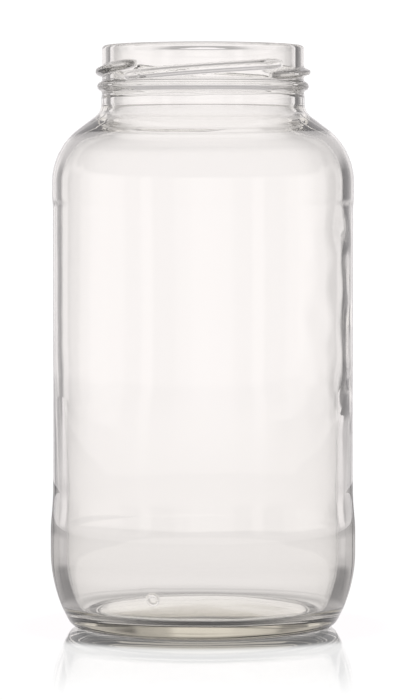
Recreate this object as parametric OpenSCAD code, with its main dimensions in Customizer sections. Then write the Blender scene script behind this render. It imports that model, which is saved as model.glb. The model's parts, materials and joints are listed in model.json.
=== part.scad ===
// Wide-mouth round glass jar with a four-lug finish, divided into its named zones.
// Origin at the centre of the bearing surface, +Z up, front towards -Y. Millimetres.

/* [Body] */
// Overall height, from the bearing surface to the sealing lip
jar_h = 187; // [150:1:240]
// Diameter of the heel contact band, the widest part
body_d = 98; // [80:1:118]
// Wall thickness of the label panel
side_wall = 2.9; // [2.5:0.1:5]
// How far the label panel lies in from the heel contact band
panel_recess = 0.8; // [0.3:0.1:1.5]
// Height of the blend from the heel contact band in to the label panel
panel_low_blend = 9; // [2:0.5:10]
// Height of the edge from the label panel out to the upper contact band
panel_top_edge = 2; // [0.5:0.1:3]

/* [Shoulder] */
// How far the upper contact band lies in from the heel contact band
upper_band_recess = 0.4; // [0:0.1:1]
// Height of the upper contact band
upper_band_h = 4.8; // [2:0.1:10]
// Outside radius of the shoulder curve
shoulder_round = 21.7; // [14:0.1:27]
// Wall thickness of the shoulder
shoulder_wall = 3; // [2.5:0.1:5]
// Outside radius of the curve from the neck out to the shoulder
neck_fillet = 7; // [3:0.5:8]
// Height of the straight neck below the transfer bead
neck_h = 3.5; // [2:0.1:10]

/* [Finish] */
// Diameter of the mouth bore
mouth_d = 58.8; // [46:0.1:71]
// Wall thickness of the finish and the neck
finish_wall_t = 3.1; // [2.5:0.1:4.5]
// Height from the bottom of the transfer bead to the sealing lip
finish_h = 14.7; // [13:0.1:20]
// Height of the sealing lip
lip_h = 2.4; // [1.6:0.1:3.5]
// Outside edge radius of the sealing lip
lip_outer_round = 1.3; // [0.5:0.1:1.6]
// Inside edge radius of the sealing lip
lip_inner_round = 0.7; // [0.4:0.1:1.2]
// How far the transfer bead stands out from the finish wall
bead_proud = 1.5; // [0.8:0.1:2.5]
// Height of the transfer bead
bead_h = 3.1; // [2:0.1:4]

/* [Lugs] */
// Number of lugs
lug_count = 4; // [3:1:6]
// Angle that one lug covers, in degrees
lug_sweep = 98; // [50:1:110]
// How far a lug stands out from the finish wall
lug_proud = 2; // [1:0.1:2.5]
// Width of a lug where it meets the finish wall
lug_root_w = 3; // [2:0.1:4]
// Width of a lug across its rounded crest
lug_crest_w = 1.3; // [0.8:0.1:2]
// How far a lug rises from its low end to its high end
lug_rise = 4; // [2:0.1:5]
// Depth of a lug's middle below the sealing lip
lug_drop = 8.5; // [7:0.1:12]
// Angle over which a lug's end tapers, in degrees
lug_taper = 13; // [5:1:20]

/* [Base] */
// Height of the heel, from the bearing surface to the heel contact band
heel_h = 24; // [18:0.5:32]
// Height of the heel contact band
heel_band_h = 6.4; // [3:0.1:12]
// Outside radius of the heel's long curve
heel_curve = 45; // [36:1:60]
// Outside radius of the heel's corner
heel_corner = 5; // [3:0.5:7]
// Wall thickness of the heel and the heel contact band
heel_wall = 4.8; // [3.5:0.1:6]
// Height over which the heel's wall thins to the side wall
wall_taper_h = 60; // [20:1:64]
// Inside radius of the heel's corner
inner_corner = 5; // [3:0.5:8]
// Width of the flat bearing surface
bearing_w = 2.6; // [1.5:0.1:5]
// Height of the bearing ring
bearing_h = 1.5; // [1:0.1:2.5]
// Width and height of the step from the bearing surface up to the push-up
push_step = 1.2; // [0.6:0.1:2]
// Height of the push-up at its centre
push_up = 3.5; // [2:0.1:6]
// Thickness of the base at its centre
base_t = 5; // [3:0.1:7]
// Height of the inside of the base at its edge
base_edge_h = 5.5; // [4.5:0.1:8]

/* [Base mark] */
// Diameter of the plain ring on the heel, to the middle of its wire
mark_d = 3.2; // [2:0.1:6]
// Thickness of the ring's wire
mark_wire = 0.7; // [0.4:0.1:1]
// Height of the ring's centre
mark_z = 13.5; // [8:0.5:16]
// Angle of the ring from the front, towards -X, in degrees
mark_turn = 19; // [0:1:90]

/* [Hidden] */
$fn = 96;
clear_glass = [0.80, 0.86, 0.83, 0.45];
lug_glass = [0.70, 0.78, 0.74, 0.6];
thick_glass = [0.62, 0.68, 0.60, 0.6];
arc_step = 6;
lug_step = 2.5;
fine_fn = 720;
wide = 400;

// Radii of the outside
heel_r = body_d / 2;
panel_r = heel_r - panel_recess;
shoulder_r = heel_r - upper_band_recess;
mouth_r = mouth_d / 2;
finish_r = mouth_r + finish_wall_t;

// Centres of the outside's curves: the shoulder, the neck fillet and the heel
shoulder_cx = shoulder_r - shoulder_round;
fillet_cx = finish_r + neck_fillet;
shoulder_rise = drop_between(fillet_cx - shoulder_cx, shoulder_round + neck_fillet);
heel_cx = heel_r - heel_curve;
corner_cx = heel_cx + drop_between(heel_h - heel_corner, heel_curve - heel_corner);

// Heights of the zones' joins, from the bearing surface up
heel_band_top = heel_h + heel_band_h;
bead_z = jar_h - finish_h;
fillet_z = bead_z - neck_h;
shoulder_z = fillet_z - shoulder_rise;
panel_top = shoulder_z - upper_band_h;

// Inside curves
panel_inner_r = panel_r - side_wall;
heel_inner_r = heel_r - heel_wall;
inner_round = shoulder_round - shoulder_wall;
inner_cx = panel_inner_r - inner_round;
inner_fillet = neck_fillet + finish_wall_t;
inner_rise = drop_between(mouth_r + inner_fillet - inner_cx, inner_round + inner_fillet);
inner_fillet_z = shoulder_z + inner_rise;
inner_heel = heel_curve - heel_wall;
inner_corner_z = base_edge_h + inner_corner;
inner_corner_cx = heel_cx + drop_between(heel_h - inner_corner_z, inner_heel - inner_corner);

// Bearing ring and push-up
bearing_r = corner_cx;
push_r = bearing_r - bearing_w;
dome_r = push_r - push_step;

// Second side of a right-angled triangle, from one side and the longest side
function drop_between(side, long_side) = sqrt(long_side * long_side - side * side);

// Points along an arc about a centre, from one angle to another
function arc(centre, r, from, to) =
    let (n = max(2, ceil(abs(to - from) / arc_step)))
    [for (i = [0:n]) let (a = from + (to - from) * i / n) centre + r * [cos(a), sin(a)]];

// Points along a shallow dome, from its edge to its top on the axis
function dome(edge_r, edge_z, top_z) =
    let (h = top_z - edge_z, r = (edge_r * edge_r + h * h) / (2 * h), a = asin(edge_r / r))
    [for (i = [0:8]) let (b = a * (1 - i / 8)) [r * sin(b), top_z - r + r * cos(b)]];

// Points in the other order
function reversed(points) = [for (i = [len(points) - 1:-1:0]) points[i]];

// Angle at which the line between two centres leaves the first one
function bearing(from, to) = atan2(to[1] - from[1], to[0] - from[0]);

shoulder_c = [shoulder_cx, shoulder_z];
fillet_c = [fillet_cx, fillet_z];
shoulder_turn = bearing(shoulder_c, fillet_c);
heel_c = [heel_cx, heel_h];
corner_c = [corner_cx, heel_corner];
corner_turn = bearing(heel_c, corner_c);
inner_c = [inner_cx, shoulder_z];
inner_fillet_c = [mouth_r + inner_fillet, inner_fillet_z];
inner_turn = bearing(inner_c, inner_fillet_c);
inner_corner_c = [inner_corner_cx, inner_corner_z];
inner_corner_turn = bearing(heel_c, inner_corner_c);

// Outside of the jar, from the push-up's centre up to the lip
outside = concat(
    reversed(dome(dome_r, push_step, push_up)),
    [[push_r, 0]],
    arc(corner_c, heel_corner, -90, corner_turn),
    arc(heel_c, heel_curve, corner_turn, 0),
    [[heel_r, heel_band_top],
    [panel_r, heel_band_top + panel_low_blend],
    [panel_r, panel_top - panel_top_edge],
    [shoulder_r, panel_top]],
    arc(shoulder_c, shoulder_round, 0, shoulder_turn),
    arc(fillet_c, neck_fillet, shoulder_turn + 180, 180),
    arc([finish_r - lip_outer_round, jar_h - lip_outer_round], lip_outer_round, 0, 90));

// Inside of the jar, from the lip down to the centre of the base
inside = concat(
    arc([mouth_r + lip_inner_round, jar_h - lip_inner_round], lip_inner_round, 90, 180),
    arc(inner_fillet_c, inner_fillet, 180, inner_turn + 180),
    arc(inner_c, inner_round, inner_turn, 0),
    [[panel_inner_r, heel_band_top + wall_taper_h],
    [heel_inner_r, heel_band_top]],
    arc(heel_c, inner_heel, 0, inner_corner_turn),
    arc(inner_corner_c, inner_corner, inner_corner_turn, -90),
    dome(inner_corner_cx, base_edge_h, push_up + base_t));

// The glass between two heights and two radii, all the way round
module glass_zone(z_low, z_high, r_low = 0, r_high = wide) {
    rotate_extrude()
        intersection() {
            polygon(concat(outside, inside));
            translate([r_low, z_low]) square([r_high - r_low, z_high - z_low]);
        }
}

module sealing_lip() {
    color(clear_glass) glass_zone(jar_h - lip_h, jar_h);
}

module finish_wall() {
    color(clear_glass) glass_zone(bead_z, jar_h - lip_h);
}

// How full a lug's section is, from a low, narrow end to the whole section
function lug_fullness(turn) =
    let (to_end = min(turn, lug_sweep - turn), t = min(1, to_end / lug_taper))
    0.3 + 0.7 * sin(90 * t);

// Section of a lug at one turn along it: radius and height of each corner
function lug_section(turn) =
    let (
        full = lug_fullness(turn),
        z = jar_h - lug_drop + lug_rise * (turn / lug_sweep - 0.5),
        root = lug_root_w * full / 2,
        crest = lug_crest_w * full / 2,
        mid = finish_r + lug_proud * full * 0.75,
        top = finish_r + lug_proud * full
    )
    [[finish_r, z - root], [mid, z - crest], [top, z - crest / 2],
    [top, z + crest / 2], [mid, z + crest], [finish_r, z + root]];

// One lug: its section swept round the finish, rising as it goes
module lug() {
    steps = ceil(lug_sweep / lug_step);
    sides = len(lug_section(0));
    points = [for (i = [0:steps])
        let (turn = lug_sweep * i / steps, a = turn - lug_sweep / 2 - 90)
        for (p = lug_section(turn)) [p[0] * cos(a), p[0] * sin(a), p[1]]];
    walls = [for (i = [0:steps - 1], j = [0:sides - 1])
        let (a = i * sides + j, b = i * sides + (j + 1) % sides)
        for (face = [[a, b + sides, b], [a, a + sides, b + sides]]) face];
    start = [for (j = [0:sides - 1]) j];
    finish = [for (j = [sides - 1:-1:0]) steps * sides + j];
    polyhedron(points, concat(walls, [start, finish]));
}

module thread_lugs() {
    color(lug_glass)
        for (i = [0:lug_count - 1]) rotate([0, 0, i * 360 / lug_count]) lug();
}

// The bead's rounded section stands on the outside of the finish wall
module transfer_bead() {
    bead_round = min(bead_proud, bead_h / 2);
    color(lug_glass)
        rotate_extrude()
            polygon(concat(
                [[finish_r, bead_z]],
                arc([finish_r + bead_proud - bead_round, bead_z + bead_round], bead_round, -90, 0),
                arc([finish_r + bead_proud - bead_round, bead_z + bead_h - bead_round], bead_round, 0, 90),
                [[finish_r, bead_z + bead_h]]));
}

module neck() {
    color(clear_glass) glass_zone(fillet_z, bead_z);
}

module shoulder() {
    color(clear_glass) glass_zone(shoulder_z, fillet_z);
}

module upper_contact_band() {
    color(clear_glass) glass_zone(panel_top, shoulder_z);
}

module label_panel() {
    color(clear_glass) glass_zone(heel_band_top, panel_top);
}

module heel_contact_band() {
    color(clear_glass) glass_zone(heel_h, heel_band_top);
}

module heel() {
    color(thick_glass) glass_zone(bearing_h, heel_h, push_r);
}

module bearing_ring() {
    color(thick_glass) glass_zone(0, bearing_h, push_r);
}

module base_plate() {
    color(thick_glass) glass_zone(0, push_up + base_t, 0, push_r);
}

// A plain raised ring that stands on the outside of the heel
module base_mark() {
    heel_turn = -asin((heel_h - mark_z) / heel_curve);
    mark_at = heel_c + heel_curve * [cos(heel_turn), sin(heel_turn)];
    color(lug_glass)
        difference() {
            rotate([0, 0, -90 - mark_turn])
                translate([mark_at[0], 0, mark_at[1]])
                    rotate([0, 90 - heel_turn, 0])
                        rotate_extrude()
                            translate([mark_d / 2, 0]) circle(d = mark_wire);
            glass_zone(bearing_h, heel_h, push_r, $fn = fine_fn);
        }
}

sealing_lip();
finish_wall();
thread_lugs();
transfer_bead();
neck();
shoulder();
upper_contact_band();
label_panel();
heel_contact_band();
heel();
bearing_ring();
base_plate();
base_mark();
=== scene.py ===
import json
import math

import bpy
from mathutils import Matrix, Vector, noise


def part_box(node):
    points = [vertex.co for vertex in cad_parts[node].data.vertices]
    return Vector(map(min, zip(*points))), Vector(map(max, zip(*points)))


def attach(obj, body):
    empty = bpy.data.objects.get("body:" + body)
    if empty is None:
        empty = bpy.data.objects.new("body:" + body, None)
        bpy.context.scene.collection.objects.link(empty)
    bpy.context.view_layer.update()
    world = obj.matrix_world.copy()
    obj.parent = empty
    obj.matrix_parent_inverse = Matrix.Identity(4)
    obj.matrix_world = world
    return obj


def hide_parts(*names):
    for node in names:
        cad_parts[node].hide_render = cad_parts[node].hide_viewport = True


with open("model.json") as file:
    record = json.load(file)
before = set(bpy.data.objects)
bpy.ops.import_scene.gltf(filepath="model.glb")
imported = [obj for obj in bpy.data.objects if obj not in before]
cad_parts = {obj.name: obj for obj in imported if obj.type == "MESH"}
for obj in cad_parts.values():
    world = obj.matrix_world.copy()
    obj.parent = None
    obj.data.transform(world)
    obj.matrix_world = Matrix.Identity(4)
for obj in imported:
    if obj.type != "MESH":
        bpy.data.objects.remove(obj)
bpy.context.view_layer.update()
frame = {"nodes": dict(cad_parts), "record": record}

mm = 0.001
fullTurn = 360


def linear(hexColour):  # an sRGB hex colour as the linear colour that Blender mixes in
    channels = [int(hexColour[i:i + 2], 16) / 255 for i in (1, 3, 5)]
    return [c / 12.92 if c <= 0.04045 else ((c + 0.055) / 1.055) ** 2.4 for c in channels] + [1]


def addNode(tree, kind, settings=None, stops=()):  # settings are plain values or other nodes' sockets
    node = tree.nodes.new(kind)
    for name, value in (settings or {}).items():
        if isinstance(value, bpy.types.NodeSocket):
            tree.links.new(value, node.inputs[name])
        elif isinstance(name, int) or name in node.inputs:
            node.inputs[name].default_value = value
        else:
            setattr(node, name, value)
    if stops:
        node.color_ramp.interpolation = "EASE"
        elements = node.color_ramp.elements
        while len(elements) < len(stops):
            elements.new(0.5)
        for element, (place, level) in zip(elements, stops):
            element.position = place
            element.color = (level, level, level, 1)
    return node


def newMaterial(name):
    material = bpy.data.materials.new(name)
    material.use_nodes = True
    material.node_tree.nodes.clear()
    return material


def ramp(value, low, high):  # 0 below low, 1 above high, and a straight line between them
    return min(1, max(0, (value - low) / (high - low)))


def smoothStep(value, low, high):  # the same with an even S between them
    t = ramp(value, low, high)
    return t * t * (3 - 2 * t)


# ---- camera: a long lens a little above the jar's middle, looking slightly down
cameraSet = {
    "distance": 1160 * mm,  # from the jar's axis
    "eyeHeight": 139 * mm,  # above the table
    "tilt": 2.46,  # degrees down
    "side": 0.8 * mm,  # a little right of the axis
    "sensor": 24,  # millimetres, and so is the lens
    "lens": 123.6,
}


def addCamera():
    bpy.ops.object.select_all(action="DESELECT")
    bpy.ops.object.camera_add(
        location=(cameraSet["side"], -cameraSet["distance"], cameraSet["eyeHeight"]),
        rotation=(math.radians(90 - cameraSet["tilt"]), 0, 0))
    camera = bpy.context.object
    camera.name = "camera"
    camera.data.sensor_fit = "VERTICAL"
    camera.data.sensor_height = cameraSet["sensor"]
    camera.data.lens = cameraSet["lens"]
    camera.data.clip_start = 0.01
    camera.data.clip_end = 200
    bpy.context.scene.camera = camera


addCamera()
print("camera ready")


# ---- glass: clear soda-lime flint glass, pressed and blown in a mould. Its outside took the mould's
# faint chill marks, its inside is fire-polished, and its thick parts look tan
flintGlass = {
    "tint": "#fefefd",
    "ior": 1.52,
    "roughness": 0.004,
    "absorbs": (0.60, 0.55, 0.37),  # what is left of each channel sets the colour of thick glass
    "density": 11,  # per metre
    "peelSize": 7 * mm,  # chill marks, a few millimetres across
    "peelHeight": 0.004 * mm,
    "peelDetail": 2,
    "peelRoughness": 0.45,
}


def makeFlintGlass():
    s = flintGlass
    material = newMaterial("flintGlassMoulded")
    tree = material.node_tree
    place = addNode(tree, "ShaderNodeTexCoord")
    peel = addNode(tree, "ShaderNodeTexNoise", {
        "Vector": place.outputs["Object"], "Scale": 1 / s["peelSize"], "Detail": s["peelDetail"],
        "Roughness": s["peelRoughness"]})
    bump = addNode(tree, "ShaderNodeBump", {
        "Height": peel.outputs["Fac"], "Strength": 1, "Distance": s["peelHeight"]})
    surface = addNode(tree, "ShaderNodeBsdfPrincipled", {
        "Base Color": linear(s["tint"]), "Roughness": s["roughness"], "IOR": s["ior"],
        "Transmission Weight": 1, "Normal": bump.outputs["Normal"]})
    body = addNode(tree, "ShaderNodeVolumeAbsorption", {
        "Color": (*s["absorbs"], 1), "Density": s["density"]})
    addNode(tree, "ShaderNodeOutputMaterial", {
        "Surface": surface.outputs["BSDF"], "Volume": body.outputs["Volume"]})
    return material


# ---- the jar: one continuous wall of glass, in the places that the CAD zones give
jarShape = {
    "panelRecess": 0.8 * mm,
    "upperBandRecess": 0.55 * mm,
    "panelLowBlend": 14 * mm,
    "panelTopEdge": 3 * mm,
    "shoulderRound": 21.7 * mm,
    "neckFillet": 5 * mm,
    "neckDrop": 0.5 * mm,  # how far the straight neck runs on below its zone
    "lipOuterRound": 1.3 * mm,
    "lipInnerRound": 0.7 * mm,
    "heelCurve": 45 * mm,
    "heelCorner": 5 * mm,
    "bearingWidth": 2.6 * mm,
    "pushStep": 1.2 * mm,
    "pushUp": 3.5 * mm,
    "sideWall": 2.9 * mm,
    "shoulderWall": 3 * mm,
    "heelWall": 4.8 * mm,
    "wallTaper": 60 * mm,
    "neckSwell": 0.8 * mm,  # glass that stays thick where the shoulder turns into the neck
    "neckSwellLow": 155 * mm,
    "neckSwellHigh": 162 * mm,
    "innerCorner": 5 * mm,
    "baseEdge": 5.5 * mm,
    "baseThickness": 5 * mm,
    "around": 220,  # faces round the jar
}

lugShape = {
    "count": 4,
    "sweep": 98,
    "proud": 2 * mm,
    "rootWidth": 3.1 * mm,
    "crestShare": 0.3,
    "rise": 4 * mm,
    "drop": 8.5 * mm,
    "endTaper": 11,
}

flow = {  # how the glass ran and settled in the mould, all on the inside
    "wallFrom": (30 * mm, 42 * mm),  # radii between which the base turns into the side wall
    "wave": 0.22 * mm,  # long waves in the side wall
    "waveSize": 34 * mm,
    "waveStretch": 0.45,  # how much longer they are upwards
    "waveAtHeel": 0.35,  # what is left of them low down
    "waveFrom": (20 * mm, 60 * mm),
    "shift": -0.12 * mm,  # the inside stands a little to one side
    "ripple": 0.16 * mm,  # where the blank chilled on one side
    "rippleSize": 8 * mm,
    "rippleRound": 4,
    "rippleAll": 0.12,  # how much of the ripple goes all round
    "rippleSide": (0.55, 0.95),
    "rippleFrom": (55 * mm, 75 * mm),
    "rippleEnd": 8 * mm,
    "settle": 0.08 * mm,  # a wavy step low in the wall
    "settleUp": 1.5 * mm,
    "settleHalf": 0.9 * mm,
    "settleWave": 1.3 * mm,
    "settleTwist": (4, 1.7),
    "neck": 0.30 * mm,  # a sharper one below the bead
    "neckDown": 1.6 * mm,
    "neckHalf": 0.4 * mm,
    "neckWave": 0.9 * mm,
    "neckTwist": (9, 2.1),
    "base": 0.15 * mm,  # waves in the base
    "baseSize": 20 * mm,
    "baseTwist": 3,
    "baseTo": (9 * mm, 14 * mm),
}

ringMark = {  # a plain ring raised on the heel
    "radius": 1.6 * mm,
    "wireHalf": 0.42 * mm,
    "height": 0.3 * mm,
    "margin": 2.06 * mm,  # of finer faces round it
    "cuts": 5,
}

seam = {  # where the two halves of the mould meet, at the left and right
    "halfWidth": 0.22 * mm,
    "height": 0.1 * mm,
    "fade": 2 * mm,  # below the bead
}


def zoneHeights(node):
    low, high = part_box(node)
    return low.z, high.z


def zoneRadius(node):
    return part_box(node)[1].x


rimZ = zoneHeights("sealing_lip")[1]
lipLowZ = zoneHeights("sealing_lip")[0]
beadLowZ, beadHighZ = zoneHeights("transfer_bead")
filletZ = zoneHeights("neck")[0]
shoulderZ = zoneHeights("shoulder")[0]
panelLowZ, panelHighZ = zoneHeights("label_panel")
heelZ = zoneHeights("heel_contact_band")[0]
finishR = zoneRadius("finish_wall")
beadR = zoneRadius("transfer_bead")
heelR = zoneRadius("heel_contact_band")
panelR = heelR - jarShape["panelRecess"]
shoulderR = heelR - jarShape["upperBandRecess"]
mouthR = next(m["dims"]["r_mm"] for m in frame["record"]["mounts"] if m["name"] == "mouth_bore") * mm


def otherSide(side, longSide):  # of a right-angled triangle
    return math.sqrt(longSide ** 2 - side ** 2)


def bearing(start, end):
    return math.degrees(math.atan2(end[1] - start[1], end[0] - start[0]))


def tangentTurn(firstC, firstR, secondC, secondR):  # where a cone leaves one curve to meet the other
    apart = math.dist(firstC, secondC)
    return bearing(firstC, secondC) - math.degrees(math.acos((firstR + secondR) / apart))


def arc(centre, radius, start, end, step):
    count = max(2, math.ceil(abs(end - start) / step))
    turns = [math.radians(start + (end - start) * i / count) for i in range(count + 1)]
    return [(centre[0] + radius * math.cos(t), centre[1] + radius * math.sin(t)) for t in turns]


def straight(start, end, step):
    count = max(1, math.ceil(math.dist(start, end) / step))
    return [tuple(a + (b - a) * i / count for a, b in zip(start, end)) for i in range(count + 1)]


def blend(start, end, count=6):  # an S between two radii, as the mould is cut
    (r0, z0), (r1, z1) = start, end
    return [(r0 + (r1 - r0) * smoothStep(i / count, 0, 1), z0 + (z1 - z0) * i / count)
            for i in range(count + 1)]


def dome(edge, topZ, count=12):
    rise = topZ - edge[1]
    radius = (edge[0] ** 2 + rise ** 2) / (2 * rise)
    span = math.asin(edge[0] / radius)
    turns = [span * (1 - i / count) for i in range(count + 1)]
    return [(radius * math.sin(t), topZ - radius + radius * math.cos(t)) for t in turns]


def withoutRepeats(points):
    kept = [points[0]]
    for point in points[1:]:
        if math.dist(point, kept[-1]) > 0.02 * mm:
            kept.append(point)
    return kept


def outsideProfile():
    s = jarShape
    heelC = (heelR - s["heelCurve"], heelZ)
    cornerOut = otherSide(heelZ - s["heelCorner"], s["heelCurve"] - s["heelCorner"])
    cornerC = (heelC[0] + cornerOut, s["heelCorner"])
    cornerTurn = bearing(heelC, cornerC)
    shoulderC = (shoulderR - s["shoulderRound"], shoulderZ)
    filletC = (finishR + s["neckFillet"], filletZ - s["neckDrop"])
    shoulderTurn = tangentTurn(shoulderC, s["shoulderRound"], filletC, s["neckFillet"])
    pushR = cornerC[0] - s["bearingWidth"]
    beadRound = min(beadR - finishR, (beadHighZ - beadLowZ) / 2)
    beadMidZ = (beadLowZ + beadHighZ) / 2
    lipC = (finishR - s["lipOuterRound"], rimZ - s["lipOuterRound"])
    panelTopZ = panelHighZ - s["panelTopEdge"]
    points = list(reversed(dome((pushR - s["pushStep"], s["pushStep"]), s["pushUp"])))
    points += blend((pushR - s["pushStep"], s["pushStep"]), (pushR, 0), 4)
    points += straight((pushR, 0), (cornerC[0], 0), 1.3 * mm)
    points += arc(cornerC, s["heelCorner"], -90, cornerTurn, 6)
    points += arc(heelC, s["heelCurve"], cornerTurn, 0, 1.6)
    points += straight((heelR, heelZ), (heelR, panelLowZ - 0.5 * mm), 1.5 * mm)
    points += blend((heelR, panelLowZ), (panelR, panelLowZ + s["panelLowBlend"]), 7)
    points += straight((panelR, panelLowZ + s["panelLowBlend"]), (panelR, panelTopZ), 5 * mm)
    points += blend((panelR, panelTopZ), (shoulderR, panelHighZ), 5)
    points += straight((shoulderR, panelHighZ), (shoulderR, shoulderZ), 1.6 * mm)
    points += arc(shoulderC, s["shoulderRound"], 0, shoulderTurn, 2.6)
    points += arc(filletC, s["neckFillet"], shoulderTurn + 180, 180, 6)
    points += straight((finishR, filletC[1]), (finishR, beadLowZ - 0.4 * mm), 1.1 * mm)
    points += blend((finishR, beadLowZ - 0.4 * mm), (finishR + 0.3 * mm, beadLowZ + 0.15 * mm), 3)
    points += arc((beadR - beadRound, beadMidZ), beadRound, -70, 70, 12)
    points += blend((finishR + 0.3 * mm, beadHighZ - 0.15 * mm), (finishR, beadHighZ + 0.4 * mm), 3)
    points += straight((finishR, beadHighZ + 0.4 * mm), (finishR, lipLowZ), 0.24 * mm)
    points += arc(lipC, s["lipOuterRound"], 0, 90, 11)
    return withoutRepeats(points)


def neckSwell(z):
    s = jarShape
    fade = 1 - smoothStep(z, s["neckSwellHigh"], filletZ - s["neckDrop"])
    return s["neckSwell"] * smoothStep(z, s["neckSwellLow"], s["neckSwellHigh"]) * fade


def lowWallInside(z):  # follows the outside, and the wall thickens towards the heel
    s = jarShape
    outside = heelR - s["panelRecess"] * smoothStep(z, panelLowZ, panelLowZ + s["panelLowBlend"])
    thick = 1 - smoothStep(z, heelZ, panelLowZ + s["wallTaper"])
    return outside - s["sideWall"] - (s["heelWall"] - s["sideWall"]) * thick


def insideProfile():
    s = jarShape
    panelInnerR = panelR - s["sideWall"]
    innerRound = s["shoulderRound"] - s["shoulderWall"]
    innerFillet = s["neckFillet"] + finishR - mouthR
    innerC = (panelInnerR - innerRound, shoulderZ)
    filletC = (mouthR + innerFillet, filletZ - s["neckDrop"])
    innerTurn = tangentTurn(innerC, innerRound, filletC, innerFillet)
    heelC = (heelR - s["heelCurve"], heelZ)
    innerHeel = s["heelCurve"] - s["heelWall"]
    cornerZ = s["baseEdge"] + s["innerCorner"]
    cornerC = (heelC[0] + otherSide(heelZ - cornerZ, innerHeel - s["innerCorner"]), cornerZ)
    cornerTurn = bearing(heelC, cornerC)
    lipC = (mouthR + s["lipInnerRound"], rimZ - s["lipInnerRound"])
    points = arc(lipC, s["lipInnerRound"], 90, 180, 15)
    points += straight((mouthR, lipC[1]), (mouthR, beadHighZ), 0.8 * mm)
    points += straight((mouthR, beadHighZ), (mouthR, filletC[1]), 0.25 * mm)
    shoulder = arc(filletC, innerFillet, 180, innerTurn + 180, 4)
    shoulder += straight(shoulder[-1], arc(innerC, innerRound, innerTurn, 0, 90)[0], 0.8 * mm)
    shoulder += arc(innerC, innerRound, innerTurn, 0, 3)
    points += [(r - neckSwell(z), z) for r, z in shoulder]
    points += straight((panelInnerR, shoulderZ), (panelInnerR, panelLowZ + s["wallTaper"]), 2.4 * mm)
    low = straight((0, panelLowZ + s["wallTaper"]), (0, heelZ), 1.4 * mm)
    points += [(lowWallInside(z), z) for _, z in low]
    points += arc(heelC, innerHeel, 0, cornerTurn, 2.2)
    points += arc(cornerC, s["innerCorner"], cornerTurn, -90, 9)
    points += dome((cornerC[0], s["baseEdge"]), s["pushUp"] + s["baseThickness"], 16)
    return withoutRepeats(points)


def drawProfile(name, points):  # a chain of edges in the XZ plane, drawn from its first point
    bpy.ops.object.select_all(action="DESELECT")
    bpy.ops.mesh.primitive_plane_add(size=mm)
    chain = bpy.context.object
    chain.name = name
    chain.data.name = name
    bpy.ops.object.mode_set(mode="EDIT")
    bpy.ops.mesh.merge(type="CENTER")
    bpy.ops.transform.translate(value=(points[0][0], 0, points[0][1]))
    for (r0, z0), (r1, z1) in zip(points, points[1:]):
        bpy.ops.mesh.extrude_region_move(TRANSFORM_OT_translate={"value": (r1 - r0, 0, z1 - z0)})
    bpy.ops.object.mode_set(mode="OBJECT")
    return chain


def lugHeightAt(turn, z):  # how far the lugs stand out at a place on the finish wall
    s = lugShape
    best = 0
    for i in range(s["count"]):
        along = (turn + 90 - i * fullTurn / s["count"] + s["sweep"] / 2) % fullTurn
        if along > s["sweep"]:
            continue
        end = ramp(min(along, s["sweep"] - along), 0, s["endTaper"])
        full = math.sqrt(1 - (1 - end) ** 2)
        middle = rimZ - s["drop"] + s["rise"] * (along / s["sweep"] - 0.5)
        halfWidth = s["rootWidth"] / 2 * (0.45 + 0.55 * full)
        off = abs(z - middle) / halfWidth
        best = max(best, s["proud"] * full * (1 - smoothStep(off, s["crestShare"], 1)))
    return best


def shapeOutside(x, y, z):
    radius = math.hypot(x, y)
    if z < beadHighZ or z > lipLowZ or radius < mouthR:
        return x, y, z
    grow = 1 + lugHeightAt(math.degrees(math.atan2(y, x)), z) / radius
    return x * grow, y * grow, z


def wander(turn, twist):  # a slow wave round the jar, from -1 to 1
    seed, quick = twist
    return noise.noise(Vector((math.cos(turn), math.sin(turn), seed)) * quick)


def shapeInside(x, y, z):
    radius = math.hypot(x, y)
    if radius < 1e-6:
        return x, y, z
    f = flow
    turn = math.atan2(y, x)
    wall = smoothStep(radius, *f["wallFrom"])  # 0 over the base, 1 on the side wall
    inBody = wall * (1 - smoothStep(z, shoulderZ, filletZ))
    waves = noise.noise(Vector((x, y, z * f["waveStretch"])) / f["waveSize"])
    lower = f["waveAtHeel"]
    push = f["wave"] * waves * inBody * (lower + (1 - lower) * smoothStep(z, *f["waveFrom"]))
    times = f["rippleRound"]
    ripples = noise.noise(Vector((math.cos(turn) * times, math.sin(turn) * times, z / f["rippleSize"])))
    onePart = f["rippleAll"] + (1 - f["rippleAll"]) * smoothStep(math.cos(turn), *f["rippleSide"])
    panel = smoothStep(z, *f["rippleFrom"]) * (1 - smoothStep(z, panelHighZ - f["rippleEnd"], panelHighZ))
    push += f["ripple"] * ripples * onePart * panel
    settleZ = panelLowZ + f["settleUp"] + f["settleWave"] * wander(turn, f["settleTwist"])
    settled = smoothStep(z, settleZ - f["settleHalf"], settleZ + f["settleHalf"]) - 1
    push += f["settle"] * settled * wall
    if z > shoulderZ:
        neckZ = beadLowZ - f["neckDown"] + f["neckWave"] * wander(turn, f["neckTwist"])
        below = 1 - smoothStep(z, neckZ - f["neckHalf"], neckZ + f["neckHalf"])
        push -= f["neck"] * below * smoothStep(z, shoulderZ, filletZ)
    grow = 1 + push / radius
    low = 1 - smoothStep(z, *f["baseTo"])
    wobble = noise.noise(Vector((x, y, f["baseTwist"])) / f["baseSize"]) * f["base"] * low
    return x * grow + f["shift"] * inBody, y * grow, z + wobble


def heelRadiusAt(z):
    return heelR - jarShape["heelCurve"] + otherSide(heelZ - z, jarShape["heelCurve"])


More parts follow.
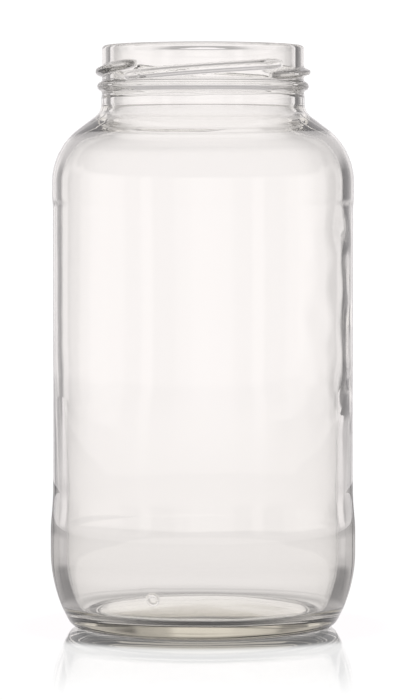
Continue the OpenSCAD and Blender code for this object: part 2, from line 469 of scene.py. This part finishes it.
def pressMark(jar):  # a fine patch on the heel's curve, with a ring raised on it
    low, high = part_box("base_mark")
    centre = (low + high) / 2
    heart = centre * (heelRadiusAt(centre.z) / math.hypot(centre.x, centre.y))
    heart.z = centre.z
    bpy.ops.object.mode_set(mode="EDIT")
    bpy.ops.mesh.select_all(action="DESELECT")
    bpy.ops.object.mode_set(mode="OBJECT")
    reach = ringMark["radius"] + ringMark["margin"]
    for face in jar.data.polygons:
        near = (face.center - heart).length < reach
        face.select = near and face.normal.dot(heart) > 0
    bpy.ops.object.mode_set(mode="EDIT")
    bpy.ops.mesh.subdivide(number_cuts=ringMark["cuts"])
    bpy.ops.object.mode_set(mode="OBJECT")
    for vertex in jar.data.vertices:
        if not vertex.select:
            continue
        x, y, z = vertex.co
        away = ((vertex.co - heart).length - ringMark["radius"]) / ringMark["wireHalf"]
        radius = heelRadiusAt(z) + ringMark["height"] * (1 - smoothStep(abs(away), 0, 1))
        grow = radius / math.hypot(x, y)
        vertex.co = (x * grow, y * grow, z)


def raiseSeams(jar):  # three cuts through both sides, and the middle one is raised
    bpy.ops.object.mode_set(mode="EDIT")
    for side in (-1, 0, 1):
        bpy.ops.mesh.select_all(action="SELECT")
        bpy.ops.mesh.bisect(plane_co=(0, side * seam["halfWidth"], 0), plane_no=(0, 1, 0))
    bpy.ops.object.mode_set(mode="OBJECT")
    for vertex in jar.data.vertices:
        x, y, z = vertex.co
        if abs(y) < 0.01 * mm and not vertex.groups and heelZ / 3 < z < beadLowZ:
            ends = smoothStep(z, heelZ / 3, heelZ / 2)
            ends *= 1 - smoothStep(z, beadLowZ - seam["fade"], beadLowZ)
            vertex.co.x += math.copysign(seam["height"] * ends, x)


def makeJar():
    outside = outsideProfile()
    inside = insideProfile()
    jar = drawProfile("glass_jar", outside + inside)
    cavity = jar.vertex_groups.new(name="cavity")
    cavity.add(list(range(len(outside), len(outside) + len(inside))), 1, "REPLACE")
    print("profile of", len(jar.data.vertices), "points")
    bpy.ops.object.mode_set(mode="EDIT")
    bpy.ops.mesh.select_all(action="SELECT")
    bpy.ops.mesh.spin(
        steps=jarShape["around"], angle=math.radians(fullTurn), center=(0, 0, 0), axis=(0, 0, 1))
    bpy.ops.mesh.select_all(action="SELECT")
    bpy.ops.mesh.remove_doubles(threshold=0.004 * mm)
    bpy.ops.mesh.normals_make_consistent(inside=False)
    bpy.ops.object.mode_set(mode="OBJECT")
    for vertex in jar.data.vertices:
        shaped = shapeInside if vertex.groups else shapeOutside
        vertex.co = shaped(*vertex.co)
    raiseSeams(jar)
    pressMark(jar)
    jar.vertex_groups.clear()
    bpy.ops.object.shade_smooth()
    jar.data.materials.clear()
    jar.data.materials.append(makeFlintGlass())
    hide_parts(*frame["nodes"])
    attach(jar, "root")
    return jar


jar = makeJar()
print("jar ready:", len(jar.data.polygons), "faces")


# ---- stage: a white glossy table in a white room, with grey and dark panels at its sides; the table's glow has painted shade in it
studio = {
    "tableRadius": 600 * mm,
    "tableSides": 128,
    "tableGap": 0.02 * mm,  # keeps the table's face clear of the jar's
    "tableGlow": 1.03,
    "tableMirror": ((0, 1), (55, 1), (66, 0.32), (100, 0.32), (185, 0), (600, 0)),  # by the distance, in mm
    "tableGloss": 0.02,
    "cameraWhite": 1.12,  # the room and the table look plain white past the jar
    "roomColour": (1.0, 0.965, 0.975),
    "roomLevel": 1.03,
    "bounces": 40,
    "glossyBounces": 12,
    # brightness round the room, in degrees to the right of the view, and it repeats each quarter turn
    "soft": ((0, 1), (4, 1), (8, 0.9), (14, 0.7), (22, 0.45), (30, 0.45), (37, 0.85), (41, 1), (49, 1),
             (55, 0.85), (64, 0.6), (72, 0.66), (81, 0.92), (85, 1), (90, 1)),
    # the same for light that runs inside the wall, which picks up the dark panels
    "edge": ((0, 1), (7, 1), (11, 0.65), (19, 0.55), (24, 0.06), (39, 0.06), (42, 0.9), (49, 0.9),
             (52, 0.2), (63, 0.25), (68, 0.8), (80, 0.9), (83, 1), (90, 1)),
    # for light that the glass or the table throws back
    "thrown": 0.98,
    # brightness of the table from the jar's axis out, in millimetres: a painted shadow under and round the
    # jar's foot, lighter outwards
    "tableShadeSoft": ((0, 0.03), (44, 0.04), (56, 0.35), (70, 0.74), (110, 0.84), (272, 0.87), (286, 0.97),
                  (590, 1)),
    "tableShadeEdge": ((0, 0.03), (44, 0.05), (58, 0.15), (90, 0.12), (130, 0.2), (190, 0.55), (330, 0.85),
                  (450, 0.95)),
    # painted shade: the table's glow in light that the glass throws back
    "tableThrownShade": 0.42,
    "tableSteepShade": 0.5,  # painted shade: what is left of the table's glow when seen from above, lighter at a grazing look as a painted reflection of the bright room
    "steepShadeFrom": (0.42, 0.56),
    "softSideReflection": (250 * mm, 900 * mm),  # where painted reflections of the side panels begin to show in the table
    "edgeSideReflection": (150 * mm, 600 * mm),
    # brightness of the ceiling, and how high a look has to go to meet it
    "ceilingSoft": 0.5,
    "softUp": (0.1, 0.38),
    "ceilingEdge": 0.5,
    "edgeUp": (0.09, 0.25),
    "overhead": 0.75,
    "overheadUp": (0.6, 0.8),
}
eased = {"interpolation_type": "SMOOTHSTEP"}


def shares(stops, whole):
    return [(place / whole, level) for place, level in stops]


def byKindOfLight(tree, soft, edge, thrown):  # straight through, along inside the wall, or thrown back
    path = addNode(tree, "ShaderNodeLightPath").outputs
    turned = addNode(tree, "ShaderNodeMath", {"operation": "GREATER_THAN", 0: path["Glossy Depth"], 1: 0.5})
    once = addNode(tree, "ShaderNodeMath", {
        "operation": "COMPARE", 0: path["Transmission Depth"], 1: 2, 2: 0.5})
    back = addNode(tree, "ShaderNodeMix", {0: once.outputs[0], 2: thrown, 3: edge})
    return addNode(tree, "ShaderNodeMix", {0: turned.outputs[0], 2: soft, 3: back.outputs[0]}).outputs[0]


def roundTheRoom(tree, direction):  # brightness by the compass bearing, for the first two kinds of light
    parts = addNode(tree, "ShaderNodeSeparateXYZ", {"Vector": direction}).outputs
    turn = addNode(tree, "ShaderNodeMath", {"operation": "ARCTAN2", 0: parts["X"], 1: parts["Y"]})
    quarters = addNode(tree, "ShaderNodeMath", {
        "operation": "MULTIPLY", 0: turn.outputs[0], 1: 2 / math.pi})
    share = addNode(tree, "ShaderNodeMath", {
        "operation": "FLOORED_MODULO", 0: quarters.outputs[0], 1: 1})
    soft = addNode(tree, "ShaderNodeValToRGB", {"Fac": share.outputs[0]}, shares(studio["soft"], 90))
    edge = addNode(tree, "ShaderNodeValToRGB", {"Fac": share.outputs[0]}, shares(studio["edge"], 90))
    return soft.outputs["Color"], edge.outputs["Color"], parts["Z"]


def paintTable():
    s = studio
    # a polished white sheet that glows: plain white to the camera, with a clear reflection near the base;
    # to the glass its glow holds a painted shadow round the jar's foot, painted shade when seen from above
    # and painted reflections of the side panels
    material = newMaterial("whiteTableGlossPaintedShade")
    tree = material.node_tree
    place = addNode(tree, "ShaderNodeTexCoord").outputs["Object"]
    distance = addNode(tree, "ShaderNodeVectorMath", {"operation": "LENGTH", 0: place}).outputs["Value"]
    facing = addNode(tree, "ShaderNodeLayerWeight", {"Blend": 0.5}).outputs["Facing"]
    far = addNode(tree, "ShaderNodeMath", {
        "operation": "DIVIDE", 0: distance, 1: s["tableRadius"]}).outputs[0]
    whole = s["tableRadius"] / mm
    # painted shadow under and round the jar's foot, lighter outwards
    softShadeRings = addNode(tree, "ShaderNodeValToRGB", {"Fac": far}, shares(s["tableShadeSoft"], whole))
    edgeShadeRings = addNode(tree, "ShaderNodeValToRGB", {"Fac": far}, shares(s["tableShadeEdge"], whole))
    mirror = addNode(tree, "ShaderNodeValToRGB", {"Fac": far}, shares(s["tableMirror"], whole))
    soft, edge, _ = roundTheRoom(tree, place)
    # painted reflections of the room's side panels, further out on the table
    near, away = s["softSideReflection"]
    softSideReflection = addNode(tree, "ShaderNodeMapRange", {
        **eased, "Value": distance, "From Min": near, "From Max": away, "To Min": 1, "To Max": soft})
    near, away = s["edgeSideReflection"]
    edgeSideReflection = addNode(tree, "ShaderNodeMapRange", {
        **eased, "Value": distance, "From Min": near, "From Max": away, "To Min": 1, "To Max": edge})
    # painted shade: the table's glow dims when it is seen from above
    steep, flat = s["steepShadeFrom"]
    paintedSteepShade = addNode(tree, "ShaderNodeMapRange", {
        **eased, "Value": facing, "From Min": steep, "From Max": flat,
        "To Min": s["tableSteepShade"], "To Max": 1})
    softLevel = addNode(tree, "ShaderNodeMath", {
        "operation": "MULTIPLY", 0: softShadeRings.outputs[0], 1: softSideReflection.outputs[0]})
    softLevel = addNode(tree, "ShaderNodeMath", {
        "operation": "MULTIPLY", 0: softLevel.outputs[0], 1: paintedSteepShade.outputs[0]})
    edgeLevel = addNode(tree, "ShaderNodeMath", {
        "operation": "MULTIPLY", 0: edgeShadeRings.outputs[0], 1: edgeSideReflection.outputs[0]})
    level = byKindOfLight(tree, softLevel.outputs[0], edgeLevel.outputs[0], s["tableThrownShade"])
    level = addNode(tree, "ShaderNodeMath", {"operation": "MULTIPLY", 0: level, 1: s["roomLevel"]})
    # the glow that the glass sees, with the painted shadow and painted shade in it
    paintedShadeGlow = addNode(tree, "ShaderNodeEmission", {
        "Color": (*s["roomColour"], 1), "Strength": level.outputs[0]})
    white = addNode(tree, "ShaderNodeEmission", {"Color": (1, 1, 1, 1), "Strength": s["tableGlow"]})
    seen = addNode(tree, "ShaderNodeLightPath").outputs["Is Camera Ray"]
    glow = addNode(tree, "ShaderNodeMixShader", {
        0: seen, 1: paintedShadeGlow.outputs["Emission"], 2: white.outputs["Emission"]})
    polish = addNode(tree, "ShaderNodeBsdfGlossy", {"Color": (1, 1, 1, 1), "Roughness": s["tableGloss"]})
    gloss = addNode(tree, "ShaderNodeMath", {"operation": "MULTIPLY", 0: mirror.outputs[0], 1: facing})
    mix = addNode(tree, "ShaderNodeMixShader", {
        0: gloss.outputs[0], 1: glow.outputs["Shader"], 2: polish.outputs["BSDF"]})
    addNode(tree, "ShaderNodeOutputMaterial", {"Surface": mix.outputs["Shader"]})
    return material


def addTable():
    bpy.ops.object.select_all(action="DESELECT")
    bpy.ops.mesh.primitive_circle_add(
        radius=studio["tableRadius"], vertices=studio["tableSides"], fill_type="NGON",
        location=(0, 0, -studio["tableGap"]))
    table = bpy.context.object
    table.name = "table"
    bpy.ops.object.transform_apply()
    table.data.materials.append(paintTable())


def lightRoom():
    s = studio
    world = bpy.data.worlds.new("whiteRoom")
    bpy.context.scene.world = world
    world.use_nodes = True
    tree = world.node_tree
    tree.nodes.clear()
    direction = addNode(tree, "ShaderNodeTexCoord").outputs["Generated"]
    soft, edge, up = roundTheRoom(tree, direction)
    low, high = s["softUp"]
    softLevel = addNode(tree, "ShaderNodeMapRange", {
        **eased, "Value": up, "From Min": low, "From Max": high,
        "To Min": soft, "To Max": s["ceilingSoft"]})
    low, high = s["edgeUp"]
    edgeLevel = addNode(tree, "ShaderNodeMapRange", {
        **eased, "Value": up, "From Min": low, "From Max": high,
        "To Min": edge, "To Max": s["ceilingEdge"]})
    level = byKindOfLight(tree, softLevel.outputs[0], edgeLevel.outputs[0], s["thrown"])
    low, high = s["overheadUp"]
    level = addNode(tree, "ShaderNodeMapRange", {
        **eased, "Value": up, "From Min": low, "From Max": high,
        "To Min": level, "To Max": s["overhead"]})
    level = addNode(tree, "ShaderNodeMath", {
        "operation": "MULTIPLY", 0: level.outputs[0], 1: s["roomLevel"]})
    room = addNode(tree, "ShaderNodeBackground", {
        "Color": (*s["roomColour"], 1), "Strength": level.outputs[0]})
    white = addNode(tree, "ShaderNodeBackground", {"Color": (1, 1, 1, 1), "Strength": s["cameraWhite"]})
    seen = addNode(tree, "ShaderNodeLightPath").outputs["Is Camera Ray"]
    mix = addNode(tree, "ShaderNodeMixShader", {
        0: seen, 1: room.outputs["Background"], 2: white.outputs["Background"]})
    addNode(tree, "ShaderNodeOutputWorld", {"Surface": mix.outputs["Shader"]})


def renderSettings():
    scene = bpy.context.scene
    scene.view_settings.view_transform = "Standard"
    scene.cycles.max_bounces = studio["bounces"]
    scene.cycles.transmission_bounces = studio["bounces"]
    scene.cycles.glossy_bounces = studio["glossyBounces"]
    scene.cycles.use_denoising = True


addTable()
lightRoom()
renderSettings()
print("stage ready")
